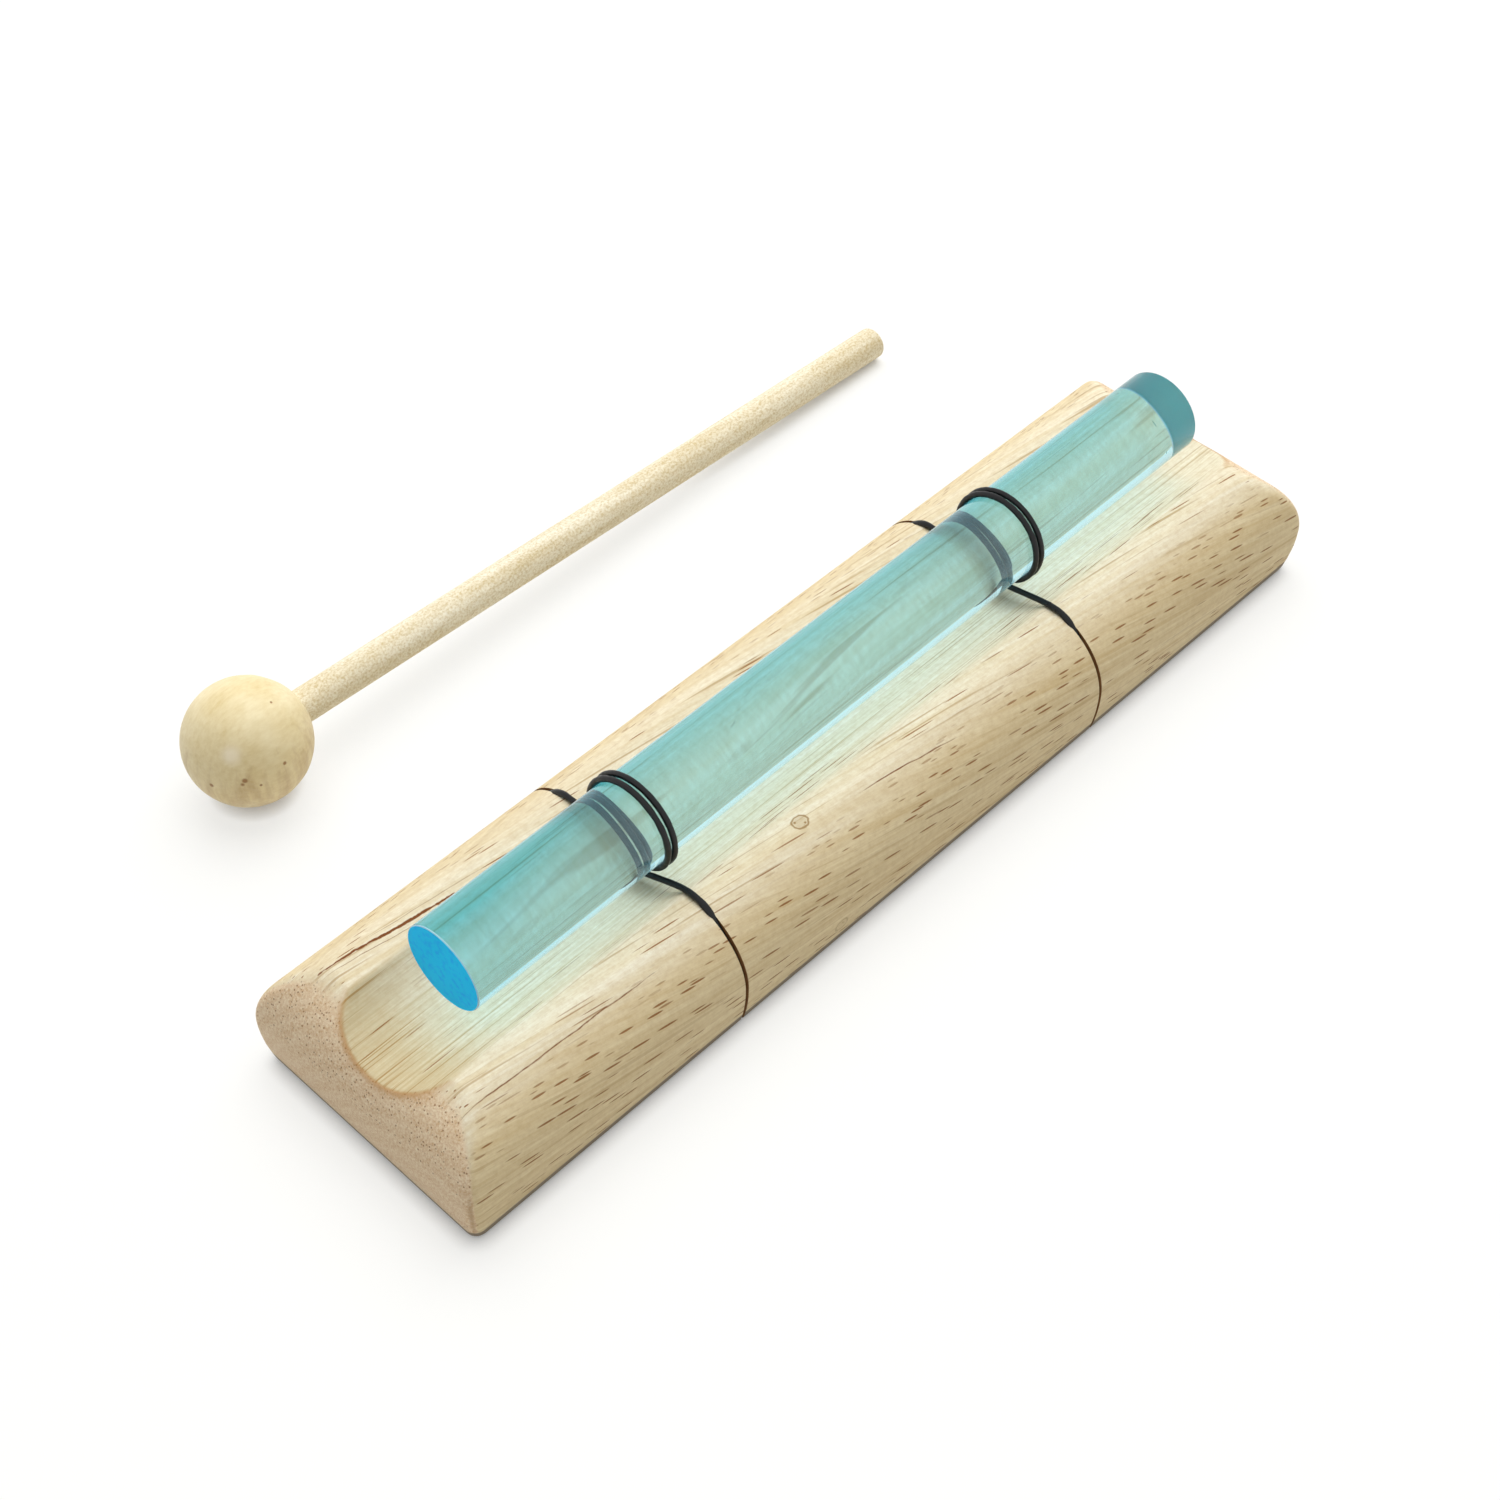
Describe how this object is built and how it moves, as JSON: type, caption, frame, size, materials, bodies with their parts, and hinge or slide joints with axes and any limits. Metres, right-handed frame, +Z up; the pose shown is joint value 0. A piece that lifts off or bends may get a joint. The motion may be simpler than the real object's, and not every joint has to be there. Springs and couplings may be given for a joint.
{
  "type": "chime bar",
  "caption": "Desk chime: a round glass bar held in elastic cord loops over the trough of a rounded wooden block, with a wooden ball mallet beside it.",
  "frame": {"origin": "centre of the wooden block's flat underside", "axes": "+X along the block, from the near end to the far end in the picture; +Y across it, towards the mallet; +Z up"},
  "size_m": [0.206, 0.1086, 0.0396],
  "materials": {
    "block_wood": "sanded",
    "bar_glass": "polished",
    "elastic_cord": "satin",
    "ball_wood": "sanded",
    "dowel_wood": "sanded"
  },
  "bodies": {
    "block": {"wooden_base": "block_wood", "front_cord_knot": "elastic_cord", "rear_cord_knot": "elastic_cord"},
    "loops": {"front_cord": "elastic_cord", "rear_cord": "elastic_cord"},
    "bar": {"chime_bar": "bar_glass"},
    "mallet": {"mallet_head": "ball_wood", "mallet_handle": "dowel_wood"}
  },
  "joints": [
    {"name": "bar_bounce", "type": "slide", "parent": "block", "child": "loops", "axis": [0, 0, 1], "range_m": [-0.0015, 0.0015], "stiffness_N_per_m": 1200, "springref_m": 0.0007, "deforming": ["front_cord", "rear_cord"]},
    {"name": "bar_slide", "type": "slide", "parent": "loops", "child": "bar", "axis": [1, 0.0079, 0], "range_m": [-0.034, 0.028]},
    {"name": "mallet_lift", "type": "slide", "parent": "block", "child": "mallet", "axis": [0, 0, 1], "range_m": [0, 0.09]}
  ]
}
